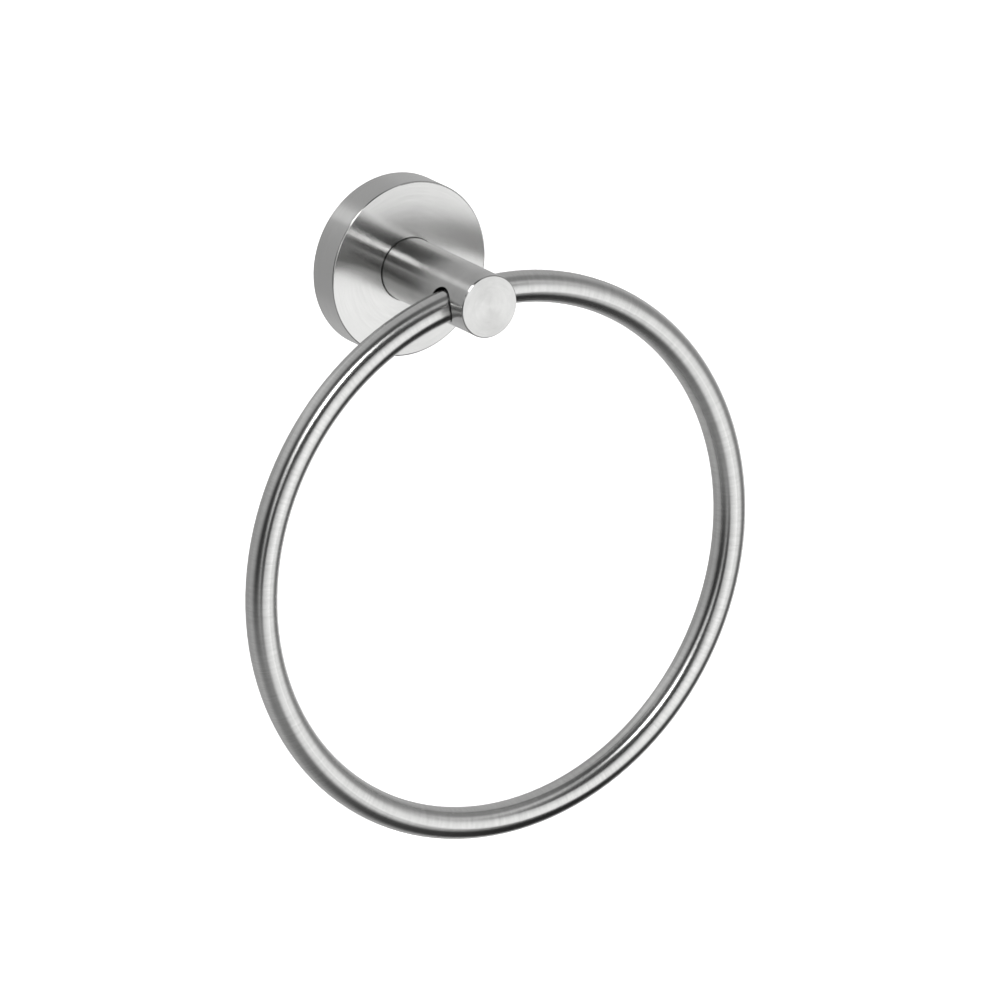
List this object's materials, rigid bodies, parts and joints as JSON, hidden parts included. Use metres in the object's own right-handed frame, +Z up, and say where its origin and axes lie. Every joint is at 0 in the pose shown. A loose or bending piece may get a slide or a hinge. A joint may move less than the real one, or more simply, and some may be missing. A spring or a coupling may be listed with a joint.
{
  "type": "towel ring",
  "caption": "Wall-fixed towel ring: a bent tube ring swings in a hole bored across a round post, which stands on a covered round rose.",
  "frame": {"origin": "centre of the wall side, on the rose's axis", "axes": "+Y into the wall, -Y out along the post to the front, +Z up, +X to the right seen from the front; the ring hangs towards -Z"},
  "size_m": [0.182, 0.057, 0.205],
  "materials": {
    "rose_steel": "turned, fine circular brushing",
    "post_steel": "turned, fine brushing round the bar",
    "ring_steel": "satin, fine brushing round the tube",
    "carrier_steel": "plain turned",
    "plate_steel": "plain turned",
    "screw_steel": "plain",
    "dowel_steel": "plain"
  },
  "bodies": {
    "wall_fitting": {"wall_plate": "plate_steel", "carrier": "carrier_steel", "rose": "rose_steel", "post": "post_steel", "post_screw": "screw_steel", "grub_screw": "screw_steel"},
    "swinging_ring": {"ring": "ring_steel", "ring_dowel": "dowel_steel"}
  },
  "joints": [
    {"name": "ring_swing", "type": "hinge", "parent": "wall_fitting", "child": "swinging_ring", "pos_m": [0, -0.045, 0], "axis": [1, 0, 0], "range_deg": [-193, 13]}
  ]
}
